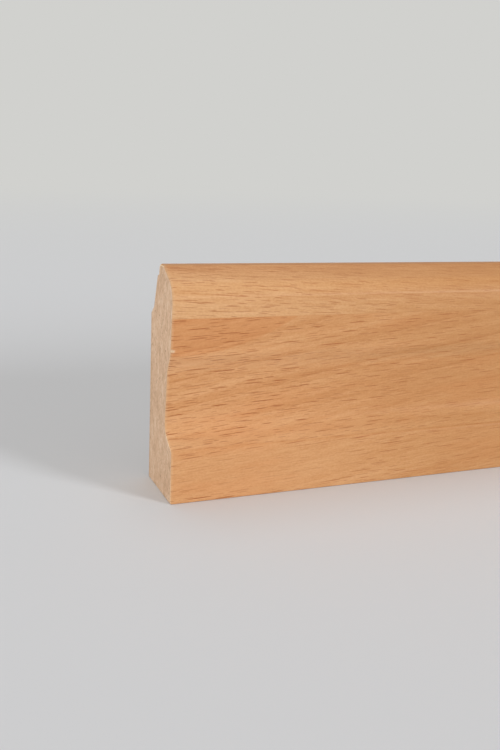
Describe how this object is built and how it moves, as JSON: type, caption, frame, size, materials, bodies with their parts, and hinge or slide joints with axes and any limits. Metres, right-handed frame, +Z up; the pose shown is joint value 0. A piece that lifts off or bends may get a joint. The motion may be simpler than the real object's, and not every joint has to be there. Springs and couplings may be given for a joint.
{
  "type": "skirting board length",
  "caption": "Straight length of veneered skirting board: moulded beech face with a foot, a cove and a rounded head on a raw fibreboard core with a relieved back.",
  "frame": {"origin": "middle of the foot, on the floor: the centre of the bounding box's bottom face", "axes": "+X along the board, +Y out of the wall face, so the moulded face looks towards -Y, +Z up"},
  "size_m": [2.4, 0.02, 0.058],
  "materials": {
    "raw_fibreboard": "bare, machined and sawn",
    "beech": "clear satin lacquer"
  },
  "bodies": {
    "root": {"core_board": "raw_fibreboard", "beech_veneer": "beech"}
  },
  "joints": []
}
